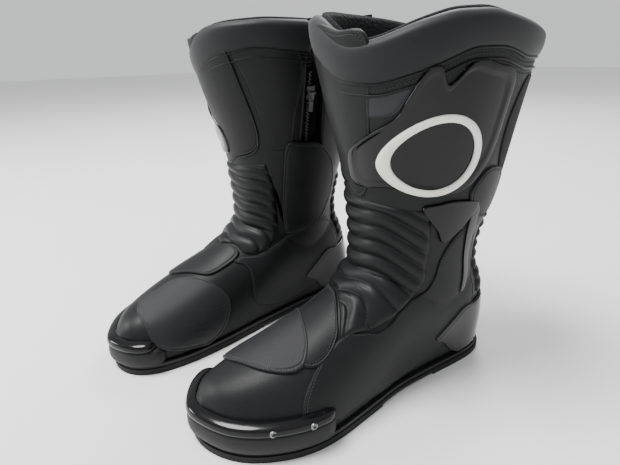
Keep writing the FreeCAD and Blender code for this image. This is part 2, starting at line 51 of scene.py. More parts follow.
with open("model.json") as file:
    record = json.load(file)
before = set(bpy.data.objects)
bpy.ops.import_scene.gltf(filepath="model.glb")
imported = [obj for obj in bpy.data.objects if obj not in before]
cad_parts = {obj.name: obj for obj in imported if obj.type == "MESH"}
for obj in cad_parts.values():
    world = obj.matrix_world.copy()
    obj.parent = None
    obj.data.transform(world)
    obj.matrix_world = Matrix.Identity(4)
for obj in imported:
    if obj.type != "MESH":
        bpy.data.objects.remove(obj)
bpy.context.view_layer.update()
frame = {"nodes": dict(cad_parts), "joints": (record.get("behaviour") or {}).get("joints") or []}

# ---------------------------------------------------------------- the boot's form, in its own frame

# distance ahead of the heel, half width at the sole, half width at the shoulder, height of the top, and
# the outward shift of the middle
FOOT_SECTIONS = np.array([
    (1, 9, 8, 52, 0), (6, 20.5, 19.5, 68, 0), (14, 29, 29, 85, 0), (24, 34, 36, 108, 0), (40, 37, 43, 130, 0),
    (72, 38, 47, 134, 0), (105, 39, 47, 134, 0), (130, 41, 45, 126, 0), (150, 44, 42, 106, 1),
    (175, 48, 42, 89, 2), (205, 52, 43, 77, 3), (230, 52, 42, 68, 2), (255, 47, 38, 60, -1),
    (275, 38, 31, 53, -4), (290, 24, 20, 44, -7), (299, 8, 7, 32, -8)], float)
# height, distance ahead of the centre, half depth, half width
SHAFT_SECTIONS = np.array([
    (40, 84, 34, 30), (66, 83, 50, 42), (90, 82, 60, 48.5), (125, 82, 59.5, 50.5), (170, 78, 65.5, 56.8),
    (215, 77.5, 74.5, 63.1), (260, 80, 85, 69.4), (300, 80.5, 93, 75), (345, 81, 98, 81.3)], float)
# share of the sole width, share of the shoulder width and share of the height of a section's points
SECTION_POINTS = ((1.0, 0.0, 0.0), (0.78, 0.25, 0.25), (0.0, 1.0, 0.62), (0.0, 0.62, 0.9))
SOLE_TOP = 10.0
STEP = 3.0
TOP_HEIGHT = 343.0
BEND_AHEAD, BEND_HEIGHT = 160.0, 118.0
FAN_STEP, INSTEP_REACH = 2.0, 62.0
TOE_END = 297.5
COLUMNS = 144
FILLET = 5.0
REACH, LOW_REACH = 110.0, 150.0
MM = 0.001


def spline(xs, ys):
    """A natural cubic spline through (xs, ys); ys may have columns."""
    xs, ys = np.asarray(xs, float), np.asarray(ys, float)
    count, gaps = len(xs), np.diff(xs)
    matrix, right = np.zeros((count, count)), np.zeros((count,) + ys.shape[1:])
    matrix[0, 0] = matrix[-1, -1] = 1
    for i in range(1, count - 1):
        matrix[i, i - 1:i + 2] = gaps[i - 1], 2 * (gaps[i - 1] + gaps[i]), gaps[i]
        right[i] = 6 * ((ys[i + 1] - ys[i]) / gaps[i] - (ys[i] - ys[i - 1]) / gaps[i - 1])
    bend = np.linalg.solve(matrix, right)

    def at(x):
        x = np.asarray(x, float)
        i = np.clip(np.searchsorted(xs, x) - 1, 0, count - 2)
        wide = (...,) + (None,) * (ys.ndim - 1)
        gap, here = gaps[i][wide], x[wide]
        after, before = xs[i + 1][wide] - here, here - xs[i][wide]
        curve = (bend[i] * after ** 3 + bend[i + 1] * before ** 3) / (6 * gap)
        return (curve + (ys[i] / gap - bend[i] * gap / 6) * after
                + (ys[i + 1] / gap - bend[i + 1] * gap / 6) * before)
    return at


FOOT_AT = spline(FOOT_SECTIONS[:, 0], FOOT_SECTIONS[:, 1:])
SHAFT_AT = spline(SHAFT_SECTIONS[:, 0], SHAFT_SECTIONS[:, 1:])


def ring_faces(rows, count):
    """Quads between rows of points, each row a ring."""
    i, j = np.meshgrid(np.arange(rows - 1), np.arange(count), indexing="ij")
    k, here, below = (j + 1) % count, i * count, (i + 1) * count
    return np.stack([here + j, here + k, below + k, below + j], -1).reshape(-1, 4)


def solid_of(rings):
    """A closed search tree of a stack of rings."""
    rows, count = rings.shape[:2]
    verts = np.concatenate([rings.reshape(-1, 3), rings[0].mean(0)[None], rings[-1].mean(0)[None]])
    low, high, last = rows * count, rows * count + 1, (rows - 1) * count
    faces = ring_faces(rows, count).tolist()
    faces += [(low, j, (j + 1) % count) for j in range(count)]
    faces += [(high, last + (j + 1) % count, last + j) for j in range(count)]
    return BVHTree.FromPolygons([tuple(v) for v in verts], faces)


def foot_rings():
    rings = []
    for ahead in np.linspace(FOOT_SECTIONS[0, 0], FOOT_SECTIONS[-1, 0], 140):
        sole, shoulder, top, out = FOOT_AT(ahead)
        half = [(sole * a + shoulder * b, SOLE_TOP + (top - SOLE_TOP) * c) for a, b, c in SECTION_POINTS]
        outer, inner = [(out + w, z) for w, z in half], [(out - w, z) for w, z in half[::-1]]
        points = np.array(outer + [(out, top)] + inner)
        along = np.r_[0, np.cumsum(np.linalg.norm(np.diff(points, axis=0), axis=1))]
        arch = spline(along, points)(np.linspace(0, along[-1], 60))
        ring = np.r_[arch, np.linspace(points[-1], points[0], 14)[1:-1]]
        rings.append(np.c_[np.full(len(ring), ahead), ring])
    return np.array(rings)


def shaft_rings():
    turns = np.radians(np.arange(0, 360, 3))
    heights = np.linspace(SHAFT_SECTIONS[0, 0], SHAFT_SECTIONS[-1, 0], 110)
    return np.array([np.c_[c + a * np.cos(turns), b * np.sin(turns), np.full(len(turns), z)]
                     for z, (c, a, b) in zip(heights, SHAFT_AT(heights))])


def skin_rows():
    """Centre and top direction of each station: level in the leg, a fan at the instep, upright to the toe."""
    rows = [((SHAFT_AT(z)[0], 0, z), (1, 0, 0)) for z in np.arange(TOP_HEIGHT, BEND_HEIGHT, -STEP)]
    near, far = BEND_AHEAD - SHAFT_AT(BEND_HEIGHT)[0], INSTEP_REACH
    for angle in np.radians(np.arange(0, 90, FAN_STEP)):
        way = np.array([-math.cos(angle), 0, -math.sin(angle)])
        reach = near + (far - near) * angle / (math.pi / 2)
        rows.append((np.array([BEND_AHEAD, 0, BEND_HEIGHT]) + way * reach, -way))
    for ahead in np.arange(BEND_AHEAD, TOE_END, STEP):
        top, out = FOOT_AT(ahead)[2:]
        share = min(1, (ahead - BEND_AHEAD) / 60)
        middle = 56 + (SOLE_TOP + (top - SOLE_TOP) * 0.45 - 56) * share
        rows.append(((ahead, out * min(1, (ahead - BEND_AHEAD) / 20), middle), (0, 0, 1)))
    return rows


class Skin:
    """The boot's outer surface, read at any station and turn."""

    def __init__(self):
        trees = [solid_of(foot_rings()), solid_of(shaft_rings())]
        rows = skin_rows()
        self.grid = np.zeros((len(rows), COLUMNS, 3))
        for i, (centre, top) in enumerate(rows):
            for j in range(COLUMNS):
                angle = 2 * math.pi * j / COLUMNS
                way = np.array(top, float) * math.cos(angle) + np.array([0, math.sin(angle), 0])
                self.grid[i, j] = np.array(centre) + way * self.reach(trees, np.array(centre), way)
        self.last = len(rows) - 1

    @staticmethod
    def reach(trees, centre, way):
        """How far the skin is from a centre: the two forms run into each other with a soft fillet."""
        start = LOW_REACH if way[2] < -0.2 else REACH
        hits = [tree.ray_cast(Vector(centre + way * start), Vector(-way), start)[3] for tree in trees]
        hits = [start - hit for hit in hits if hit is not None]
        if len(hits) < 2:
            return hits[0] if hits else 0.0
        far, gap = max(hits), abs(hits[0] - hits[1])
        swell = FILLET * math.log(1 + math.exp(-gap / FILLET))
        return far + swell - FILLET * math.log(2) * math.exp(-gap / FILLET)

    def at(self, station, turn):
        """Points of the skin at stations and turns."""
        station, turn = np.broadcast_arrays(np.asarray(station, float), np.asarray(turn, float))
        row, col = np.clip(station, 0, self.last), turn * COLUMNS / 360
        i, j = np.floor(row).astype(int), np.floor(col).astype(int)
        total = 0
        for a, weight in enumerate(self.weights(row - i), start=-1):
            for b, share in enumerate(self.weights(col - j), start=-1):
                corner = self.grid[np.clip(i + a, 0, self.last), (j + b) % COLUMNS]
                total = total + corner * (weight * share)[..., None]
        return total

    @staticmethod
    def weights(x):
        return ((-x ** 3 + 2 * x ** 2 - x) / 2, (3 * x ** 3 - 5 * x ** 2 + 2) / 2,
                (-3 * x ** 3 + 4 * x ** 2 + x) / 2, (x ** 3 - x ** 2) / 2)

    def out(self, station, turn):
        """The direction out of the skin."""
        station, turn = np.asarray(station, float), np.asarray(turn, float)
        down = self.at(station + 0.5, turn) - self.at(station - 0.5, turn)
        round_ = self.at(station, turn + 1.5) - self.at(station, turn - 1.5)
        way = np.cross(round_, down)
        return -way / np.maximum(np.linalg.norm(way, axis=-1, keepdims=True), 1e-9)

    def lift(self, station, turn, height):
        """Points that stand off the skin by a height."""
        height = np.asarray(height, float)
        return self.at(station, turn) + self.out(station, turn) * height[..., None]

    def place(self, ahead, other, axis, side):
        """Station and turn of points seen from a side (axis 2, a height) or from above (axis 1, outward)."""
        ahead, other = np.broadcast_arrays(np.asarray(ahead, float), np.asarray(other, float))
        seen = self.grid[..., 1] * side > 4 if axis == 2 else self.grid[..., 2] > 40
        rows, cols = np.nonzero(seen)
        known = self.grid[rows, cols][:, [0, axis]]
        goal = np.stack([ahead.ravel(), other.ravel()], -1)
        near = np.array([np.argmin(((known - g) ** 2).sum(-1)) for g in goal])
        found = np.stack([rows[near], cols[near] * 360 / COLUMNS], -1).astype(float)
        for _ in range(8):
            here = self.at(found[:, 0], found[:, 1])[:, [0, axis]]
            down = (self.at(found[:, 0] + 0.2, found[:, 1])[:, [0, axis]] - here) / 0.2
            turn = (self.at(found[:, 0], found[:, 1] + 0.5)[:, [0, axis]] - here) / 0.5
            miss = goal - here
            area = down[:, 0] * turn[:, 1] - down[:, 1] * turn[:, 0]
            area = np.where(np.abs(area) < 0.05, 0.05, area)
            step = np.stack([miss[:, 0] * turn[:, 1] - miss[:, 1] * turn[:, 0],
                             down[:, 0] * miss[:, 1] - down[:, 1] * miss[:, 0]], -1) / area[:, None]
            found += np.clip(step, -1.5, 1.5)
        return found[:, 0].reshape(ahead.shape), found[:, 1].reshape(ahead.shape)


SKIN = Skin()


class Boot:
    """One boot of the pair: where its own frame lies in the pair's frame."""

    def __init__(self, side):
        self.side = side
        joint = next(j for j in frame["joints"] if j["name"] == f"{side}_ankle_flex")
        sign = 1 if side == "left" else -1
        self.mirrored = sign < 0
        axis = np.array(joint["axis"], float) * sign
        self.outward = axis / np.linalg.norm(axis)
        self.ahead = np.array([axis[1], -axis[0], 0.0]) * sign
        self.ahead /= np.linalg.norm(self.ahead)
        self.heel = np.array(joint.get("pos_m", joint.get("pos")), float) - self.ahead * ANKLE_AHEAD * MM
        self.heel[2] = 0.0

    def world(self, points):
        """Points in the pair's frame, in metres."""
        points = np.asarray(points, float) * MM
        up = np.array([0.0, 0.0, 1.0])
        ahead, outward, high = points[..., :1], points[..., 1:2], points[..., 2:]
        return self.heel + ahead * self.ahead + outward * self.outward + high * up


ANKLE_AHEAD = 72.0
BLEND_LOW, BLEND_HIGH = 86.0, 128.0

BOOTS = [Boot("left"), Boot("right")]


# ---------------------------------------------------------------- curves, shells and seams

def smooth(points, per=8, closed=False):
    """A smooth curve through a few points of any width."""
    points = np.asarray(points, float)
    count = len(points)
    spans = count if closed else count - 1
    curve = []
    for i in range(spans):
        near = [i + k for k in (-1, 0, 1, 2)]
        four = [points[k % count] if closed else points[min(max(k, 0), count - 1)] for k in near]
        for x in np.arange(per) / per:
            curve.append(sum(w * p for w, p in zip(Skin.weights(x), four)))
    if not closed:
        curve.append(points[-1])
    return np.array(curve)


def spaced(points, gap, closed=False):
    """The same line with points an even gap apart."""
    line = np.r_[points, points[:1]] if closed else points
    along = np.r_[0, np.cumsum(np.linalg.norm(np.diff(line, axis=0), axis=1))]
    count = max(2, int(round(along[-1] / gap)) + 1)
    steps = np.linspace(0, along[-1], count)
    if closed:
        steps = steps[:-1]
    return np.stack([np.interp(steps, along, line[:, k]) for k in range(line.shape[1])], -1)


def closed_stack(rows):
    """A closed solid from rings, capped at both ends."""
    rows = np.asarray(rows)
    count, size = rows.shape[:2]
    faces = ring_faces(count, size).tolist()
    faces += [list(range(size))[::-1], list(range((count - 1) * size, count * size))]
    return rows.reshape(-1, 3), faces


def shell(top, under, closed=False):
    """A closed solid between two sheets of points; closed says that the sheets are rings."""
    top, under = np.asarray(top), np.asarray(under)
    rows, count = top.shape[:2]
    loop = np.concatenate([top, under[::-1]])
    if closed:
        faces = ring_faces(2 * rows, count)
        i = np.arange(count)
        k, last = (i + 1) % count, (2 * rows - 1) * count
        faces = np.concatenate([faces, np.stack([last + i, last + k, k, i], -1)])
        return loop.reshape(-1, 3), faces.tolist()
    i, k = np.arange(2 * rows), (np.arange(2 * rows) + 1) % (2 * rows)
    j = np.arange(count - 1)
    a, b = np.meshgrid(i, j, indexing="ij")
    c = np.meshgrid(k, j, indexing="ij")[0]
    here, below = a * count + b, c * count + b
    faces = np.stack([here, here + 1, below + 1, below], -1).reshape(-1, 4).tolist()
    faces += [[r * count for r in range(2 * rows)][::-1], [r * count + count - 1 for r in range(2 * rows)]]
    return loop.reshape(-1, 3), faces


def across(line, outs):
    """Directions along a line of points and across it, given the directions out."""
    along = np.gradient(line, axis=0)
    along /= np.maximum(np.linalg.norm(along, axis=1, keepdims=True), 1e-9)
    side = np.cross(along, outs)
    return along, side / np.maximum(np.linalg.norm(side, axis=1, keepdims=True), 1e-9)


def cord(line, outs, radius):
    """A round piping along a line."""
    side = across(line, outs)[1]
    angles = np.arange(8) * math.pi / 4
    rings = (line[:, None] + side[:, None] * (np.cos(angles) * radius)[None, :, None]
             + outs[:, None] * (np.sin(angles) * radius)[None, :, None])
    return closed_stack(rings)


STITCH_GAP, STITCH_LENGTH, STITCH_WIDTH, STITCH_RISE = 2.7, 1.9, 0.36, 0.3
SEAM_GAP = 1.2
# how far the rings of a patch's rolled border lie inside its edge
BORDER_RINGS = np.array([4.8, 4.0, 3.4, 2.9, 2.4, 1.9, 1.4, 1.0, 0.6, 0.3, 0.1, 0.0])
GROOVE_DEPTH, GROOVE_SPREAD = 0.5, 0.55


def stitches(line, outs, closed=False):
    """A row of thread stitches along a line, each sunk at its ends."""
    both = spaced(np.c_[line, outs], STITCH_GAP, closed)
    line, outs = both[:, :3], both[:, 3:]
    along, side = across(line, outs)
    verts = []
    for share, rise, width in ((-0.5, -0.25, 0.5), (-0.3, 1.0, 1.0), (0.3, 1.0, 1.0), (0.5, -0.25, 0.5)):
        middle = line + along * share * STITCH_LENGTH
        for way, high in ((-1, -0.4), (-0.5, rise), (0.5, rise), (1, -0.4)):
            verts.append(middle + side * way * STITCH_WIDTH * width + outs * high * STITCH_RISE)
    verts = np.stack(verts, 1)
    quads = ring_faces(4, 4).tolist() + [[3, 2, 1, 0], [12, 13, 14, 15]]
    faces = (np.arange(len(line))[:, None, None] * 16 + np.array(quads)[None]).reshape(-1, 4)
    return verts.reshape(-1, 3), faces.tolist()


def seam_line(stations_turns, height):
    """A line on the skin through stations and turns, with the directions out of it."""
    curve = smooth(stations_turns, 10)
    station, turn = curve[:, 0], curve[:, 1]
    line = SKIN.lift(station, turn, np.full(len(curve), float(height)))
    both = spaced(np.c_[line, SKIN.out(station, turn)], SEAM_GAP)
    return both[:, :3], both[:, 3:]


def patch(outline, height, edge=1.3, crown=0.0, groove=0.0, under=-0.8, rings=14, relief=None):
    """A raised piece with a rolled border, from a closed outline of stations and turns round its middle."""
    border = smooth(outline, 8, True)
    middle = border.mean(0)
    size = np.linalg.norm(SKIN.at(border[:, 0], border[:, 1]) - SKIN.at(middle[0], middle[1]), axis=1).mean()
    inner = np.linspace(0.03, 1 - 6.0 / size, rings)
    near = 1 - BORDER_RINGS / size
    rows = []
    for share in np.r_[inner, near]:
        gap = (1 - share) * size
        rise = math.sqrt(max(0.0, 1 - (1 - min(gap / edge, 1)) ** 2))
        level = under + (height - under) * rise + crown * (1 - share ** 2)
        if groove:
            level -= GROOVE_DEPTH * math.exp(-((gap - groove) / GROOVE_SPREAD) ** 2)
        place = middle + (border - middle) * share
        lift = np.full(len(place), level)
        if relief:
            lift = lift + relief(gap)
        rows.append(SKIN.lift(place[:, 0], place[:, 1], lift))
    for share in (0.9, 0.5, 0.04):
        place = middle + (border - middle) * share
        rows.append(SKIN.lift(place[:, 0], place[:, 1], np.full(len(place), under)))
    return closed_stack(rows)


def inset(outline, distance, height):
    """A closed line on the skin a distance inside an outline."""
    border = smooth(outline, 8, True)
    middle = border.mean(0)
    edge = SKIN.at(border[:, 0], border[:, 1])
    reach = np.linalg.norm(edge - SKIN.at(middle[0], middle[1]), axis=1)
    place = middle + (border - middle) * (1 - distance / reach)[:, None]
    line = SKIN.lift(place[:, 0], place[:, 1], np.full(len(place), float(height)))
    return line, SKIN.out(place[:, 0], place[:, 1])


def merged(*parts):
    """Several closed solids as one piece."""
    verts, faces, start = [], [], 0
    for points, polygons in parts:
        verts.append(points)
        faces += [[i + start for i in polygon] for polygon in polygons]
        start += len(points)
    return np.concatenate(verts), faces


def make(boot, name, part, finish, body=None, replaces=()):
    """One piece of a boot, riding on a body or, with none given, left where it stands with its placement
    baked in.
    """
    verts, faces = part
    mesh = bpy.data.meshes.new(f"{boot.side}_{name}")
    mesh.from_pydata(boot.world(verts).tolist(), [], faces)
    work = bmesh.new()
    work.from_mesh(mesh)
    bmesh.ops.recalc_face_normals(work, faces=work.faces)
    work.to_mesh(mesh)
    work.free()
    mesh.shade_smooth()
    piece = bpy.data.objects.new(f"{boot.side}_{name}", mesh)
    bpy.context.collection.objects.link(piece)
    mesh.materials.append(bpy.data.materials[finish])
    if body:
        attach(piece, f"{boot.side}_{body}")
    else:
        low = boot.world(np.array([ANKLE_AHEAD, 0, BLEND_LOW]))
        high = boot.world(np.array([ANKLE_AHEAD, 0, BLEND_HIGH]))
        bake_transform(piece)
    if replaces:
        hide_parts(*[f"{boot.side}_{node}" for node in replaces])
    return piece


def curve_of(pairs):
    """A smooth closed function of the turn through (turn, value) pairs."""
    turns, values = np.array(pairs, float).T
    turns = np.r_[turns[-1] - 360, turns, turns[0] + 360]
    values = np.r_[values[-1], values, values[0]]
    fine = np.arange(-180, 180.0)
    tidy = np.interp(fine, turns, values)
    for _ in range(24):
        tidy = (np.roll(tidy, 1) + 2 * tidy + np.roll(tidy, -1)) / 4
    fine, tidy = np.r_[fine, 180], np.r_[tidy, tidy[0]]

    def at(turn):
        return np.interp((np.asarray(turn, float) + 180) % 360 - 180, fine, tidy)
    return at


# ---------------------------------------------------------------- finishes

class Value:
    """A number that varies over a surface; sums and products of it add the shader's own maths."""

    def __init__(self, finish, socket):
        self.finish, self.socket = finish, socket

    def maths(self, operation, *values):
        node = self.finish.node("ShaderNodeMath", {"operation": operation}, dict(enumerate(values)))
        return Value(self.finish, node.outputs[0])

    def __add__(self, other):
        return self.maths("ADD", self, other)

    def __sub__(self, other):
        return self.maths("SUBTRACT", self, other)

    def __rsub__(self, other):
        return self.maths("SUBTRACT", other, self)

    def __mul__(self, other):
        return self.maths("MULTIPLY", self, other)

    def __gt__(self, other):
        return self.maths("GREATER_THAN", self, other)

    __radd__, __rmul__ = __add__, __mul__


class Finish:
    """A material under construction."""

    def __init__(self, name, roughness, **constants):
        self.material = bpy.data.materials.new(name)
        self.material.use_nodes = True
        self.tree = self.material.node_tree
        self.shader = self.tree.nodes["Principled BSDF"]
        self.place = self.node("ShaderNodeTexCoord").outputs["Object"]
        self.feed(self.shader, {"Roughness": roughness})
        self.feed(self.shader, {name.replace("_", " "): value for name, value in constants.items()})

    def node(self, kind, settings=None, inputs=None):
        """A node of a kind: its settings first, then the values or links of its sockets."""
        node = self.tree.nodes.new(kind)
        for name, value in (settings or {}).items():
            setattr(node, name, value)
        self.feed(node, inputs or {})
        return node

    def feed(self, node, inputs):
        for name, value in inputs.items():
            value = value.socket if isinstance(value, Value) else value
            if isinstance(value, bpy.types.NodeSocket):
                self.tree.links.new(value, node.inputs[name])
            else:
                node.inputs[name].default_value = value

    def noise(self, scale, detail=3.0):
        node = self.node("ShaderNodeTexNoise", None, {"Vector": self.place, "Scale": scale, "Detail": detail})
        return Value(self, node.outputs[0])

    def cells(self, scale):
        node = self.node("ShaderNodeTexVoronoi", {"feature": "F1"}, {"Vector": self.place, "Scale": scale})
        return Value(self, node.outputs["Distance"])

    def waves(self, scale, axis):
        node = self.node("ShaderNodeTexWave", {"wave_type": "BANDS", "bands_direction": axis},
                         {"Vector": self.place, "Scale": scale})
        return Value(self, node.outputs["Fac"])

    def paint(self, dark, light, mask):
        tones = {"Factor": mask, 6: (*dark, 1), 7: (*light, 1)}
        mix = self.node("ShaderNodeMix", {"data_type": "RGBA"}, tones)
        self.feed(self.shader, {"Base Color": mix.outputs[2]})

    def rough(self, value):
        self.feed(self.shader, {"Roughness": value})

    def bump(self, height, strength, distance):
        inputs = {"Height": height, "Strength": strength, "Distance": distance}
        node = self.node("ShaderNodeBump", None, inputs)
        self.feed(self.shader, {"Normal": node.outputs[0]})


def shade(colour, factor):
    return tuple(channel * factor for channel in colour)


def leather(name, colour, roughness, grain=900.0, depth=0.00012, sheen=0.0):
    """Grained leather: a pebbled skin with soft creases, a little paler and shinier where it is rubbed."""
    finish = Finish(name, roughness, Specular_IOR_Level=0.2, Sheen_Weight=sheen)
    cloud, pebble, fine = finish.noise(22.0), finish.cells(grain), finish.noise(grain * 1.7, 2.0)
    finish.paint(shade(colour, 0.72), shade(colour, 1.35), cloud)
    finish.rough(cloud * 0.22 + pebble * 0.14 + (roughness - 0.16))
    finish.bump(pebble * 0.7 + fine * 0.3 + finish.noise(120.0) * 0.8, 0.55, depth)


def moulded(name, colour, roughness, coat):
    """Smooth moulded plastic with faint flow ripples and handling marks."""
    finish = Finish(name, roughness, Specular_IOR_Level=0.2, Coat_Weight=coat, Coat_Roughness=0.05)
    cloud = finish.noise(35.0)
    finish.paint(shade(colour, 0.8), shade(colour, 1.3), cloud)
    finish.rough(cloud * 0.16 + (roughness - 0.05) + (finish.noise(400.0) > 0.62) * 0.05)
    finish.bump(finish.noise(90.0), 0.35, 0.00002)


def woven(name, colour, pitch, roughness=0.85, depth=0.00025):
    """A knitted or woven cloth."""
    finish = Finish(name, roughness, Specular_IOR_Level=0.15, Sheen_Weight=0.04)
    weave = finish.waves(pitch, "X") * 0.5 + finish.waves(pitch, "Z") * 0.5 + finish.waves(pitch, "Y") * 0.3
    finish.paint(shade(colour, 0.5), shade(colour, 1.5), weave * 0.7 + finish.noise(60.0) * 0.3)
    finish.bump(weave, 0.8, depth)


def fleece(name, colour):
    finish = Finish(name, 0.95, Specular_IOR_Level=0.1, Sheen_Weight=0.08)
    fur = finish.noise(700.0, 6.0) * 0.6 + finish.cells(380.0) * 0.6
    finish.paint(shade(colour, 0.5), shade(colour, 1.8), fur)
    finish.bump(fur, 1.0, 0.0012)


def embossed(name, colour):
    """The pad's rubbery face: a field of fine ribs broken into short dashes."""
    finish = Finish(name, 0.42, Specular_IOR_Level=0.3)
    ribs = finish.waves(250.0, "X") * 0.6 + finish.waves(250.0, "Y") * 0.6
    finish.paint(shade(colour, 0.8), shade(colour, 1.3), finish.noise(30.0))
    finish.bump(ribs + finish.cells(700.0) * 0.3, 0.7, 0.0003)


def metal(name, colour):
    finish = Finish(name, 0.3, Metallic=1.0)
    marks = finish.noise(500.0)
    finish.paint(shade(colour, 0.7), shade(colour, 1.2), marks)
    finish.rough(marks * 0.25 + 0.18)
    finish.bump(marks, 0.2, 0.00003)


def rubber(name, colour, roughness=0.7):
    finish = Finish(name, roughness, Specular_IOR_Level=0.25)
    cloud = finish.noise(40.0)
    finish.paint(shade(colour, 0.75), shade(colour, 1.4), cloud)
    finish.rough(cloud * 0.2 + (roughness - 0.1))
    finish.bump(finish.noise(1100.0) * 0.6 + finish.noise(220.0) * 0.4, 0.5, 0.00015)


def open_colour(name, label, default):
    return bpy.props.FloatVectorProperty(name=name, description=label, default=default, subtype="COLOR",
                                         size=3, min=0.0, max=1.0)


def open_length(name, label, default):
    return bpy.props.FloatProperty(name=name, description=label, default=default * MM, unit="LENGTH",
                                   subtype="DISTANCE", min=0.0)


class BootColours(bpy.types.PropertyGroup):
    """Colours of the boots' finishes."""
    leather: open_colour("Leather", "Grained leather of the foot and shaft", (0.0062, 0.0065, 0.007))
    collar: open_colour("Collar", "Soft padded leather of the collar", (0.010, 0.0103, 0.0115))
    band: open_colour("Band", "Paler band under the collar", (0.024, 0.025, 0.028))
    gloss: open_colour("Gloss", "Glossy guards", (0.0035, 0.0035, 0.004))
    mesh: open_colour("Mesh", "Stretch cloth at the back of the calf", (0.0105, 0.0095, 0.0095))
    badge: open_colour("Badge", "Raised badge", (0.78, 0.78, 0.72))
    thread: open_colour("Thread", "Stitching", (0.034, 0.034, 0.036))
    rubber: open_colour("Rubber", "Outsole and toe block", (0.0075, 0.0075, 0.008))
    floor: open_colour("Floor", "Plain floor", (0.80, 0.80, 0.79))


class BootSizes(bpy.types.PropertyGroup):
    """Sizes of the pieces that stand off the skin."""
    panel: open_length("Panel", "How far a leather panel stands off the skin", 1.5)
    guard: open_length("Guard", "How far the shin guard stands off the skin", 3.5)
    rib: open_length("Rib", "Height of the bellows' ribs", 3.3)
    rib_pitch: open_length("Rib pitch", "Distance between the bellows' ribs", 13.8)
    piping: open_length("Piping", "Radius of the piping", 1.0)
    collar: open_length("Collar", "How far the collar's padding swells", 3.8)


def colours():
    return bpy.context.scene.boot_colours


def length(name):
    """A size in millimetres."""
    return getattr(bpy.context.scene.boot_sizes, name) / MM


# ---------------------------------------------------------------- lines that several pieces share

ZIP_AHEAD, ZIP_LOW, ZIP_LENGTH = 88.0, 126.0, 150.0
SLIT_HALF_WIDTH, SLIT_LOW = 14.0, 100.0
ZIP_OUT, ZIP_LEAN = 50.6, math.radians(8)
COLLAR_EDGE = curve_of([(-180, 19), (-120, 18), (-78, 17), (-40, 15), (-12, 18), (5, 23), (25, 23.5),
                        (48, 20), (68, 16), (88, 16), (110, 18.5), (150, 19)])
# the top edge, which dips at the front of the shin and falls towards the calf
RIM_EDGE = curve_of([(-180, 13.5), (-135, 12), (-102, 9.5), (-78, 8.5), (-48, 8), (-25, 8.6), (-10, 9.6),
                     (0, 12), (8, 15), (16, 15.4), (26, 14.4), (42, 11.5), (58, 9.4), (78, 9), (102, 10.8),
                     (135, 13.3)])
NOTCH_START, NOTCH_END = -82.0, 262.0


def sole_station(turn):
    """The station at which the skin comes down to the sole at a turn past the sides."""
    stations = np.arange(78, 166, 0.5)
    found = []
    for one in np.atleast_1d(turn):
        low = np.nonzero(SKIN.at(stations, one)[:, 2] < SOLE_TOP + 1)[0]
        found.append(stations[low[0]] if len(low) else stations[-1])
    return np.array(found)


def zip_turns(station):
    """The turns of the slit's front and rear edges at a station."""
    level = SHAFT_AT(np.maximum(TOP_HEIGHT - STEP * station, SLIT_LOW))
    centre, depth = level[..., 0], level[..., 1]
    front = -np.degrees(np.arccos((ZIP_AHEAD + SLIT_HALF_WIDTH - centre) / depth))
    rear = -np.degrees(np.arccos((ZIP_AHEAD - SLIT_HALF_WIDTH - centre) / depth))
    return front, rear


def zip_point(along, over, depth):
    """A point of the zip: along it from its foot, across it towards the front, and in depth."""
    return np.stack(np.broadcast_arrays(
        ZIP_AHEAD + over, -ZIP_OUT + depth * math.cos(ZIP_LEAN) - along * math.sin(ZIP_LEAN),
        ZIP_LOW + along * math.cos(ZIP_LEAN) + depth * math.sin(ZIP_LEAN)), -1)


# closed outlines, each point a station and a turn
OUTER_QUARTER = ((128, 50), (122, 61), (113, 64), (101, 57), (91, 56), (82, 68), (70, 74), (62, 88),
                 (63, 108), (74, 124), (84, 138), (95, 146), (106, 140), (117, 133), (129, 124), (139, 112),
                 (144, 96), (142, 76), (137, 60))
INNER_QUARTER = ((123, -42), (119, -62), (119, -88), (119, -116), (109, -138), (98, -148), (88, -148),
                 (80, -138), (76, -118), (78, -90), (82, -66), (92, -54), (108, -48))
OVERLAY = ((121, -40), (121, -12), (126, 28), (129, 48), (134, 60), (139, 55), (142, 30), (138, -10),
           (132, -45))
LEFT_PAD = ((129, -78), (130, -48), (133, -8), (136, 30), (140, 50), (145, 48), (150, 30), (153, 0),
            (155, -35), (154, -72), (147, -98), (136, -98))
RIGHT_PAD = ((155, 10), (150, 4), (142, -8), (134, -50), (129, -92), (134, -116), (144, -114), (156, -98),
             (158, -60), (158, -18))
GUARD = ((42, -2), (49.5, 0), (49, 28), (51, 58), (49, 80), (42, 95), (32, 101), (22, 102), (19.5, 86),
         (18.5, 71), (23.5, 58), (19.5, 53), (20.5, 46), (27, 37), (31, 31), (37, 10))
BAND = ((22, -22), (26, 2), (27, 24), (24, 42), (27, 38), (30, 32), (31, 20), (30.5, 0), (28, -20))
BRACE = ((54.5, 48), (53, 60), (52.5, 74), (54, 96), (58, 92), (65, 72), (61, 62))
BRACE_STRAP = ((55.5, 92), (55.5, 99), (63, 104), (72, 110), (79, 117), (83, 120), (83, 114), (77, 107),
               (69, 99), (62, 93))
CALF_MESH = ((23, 122), (25, 146), (31, 168), (44, 174), (55, 166), (58, 148), (52, 128), (45, 112),
             (34, 109))
CALF_LEATHER = ((45, 98), (47, 122), (54, 132), (60, 116), (58, 98), (51.5, 84))
SHIN_ARCH = ((16, 22), (12, 6), (10.5, -10), (14, -22), (26, -29), (40, -34), (47, -30), (50, -12), (51, 10))
INNER_PANEL = ((46, -60), (36, -66), (22, -74), (12, -62), (9, -46), (14, -27), (26, -33), (38, -38),
               (47, -44))
FLAP_SIDE = ((112.6, 208), (97, 208), (81, 206), (65, 193), (55.5, 173), (55.5, 143), (65, 123), (81, 110),
             (97, 108), (112.6, 108), (114.2, 133), (114.2, 158), (114.2, 183))
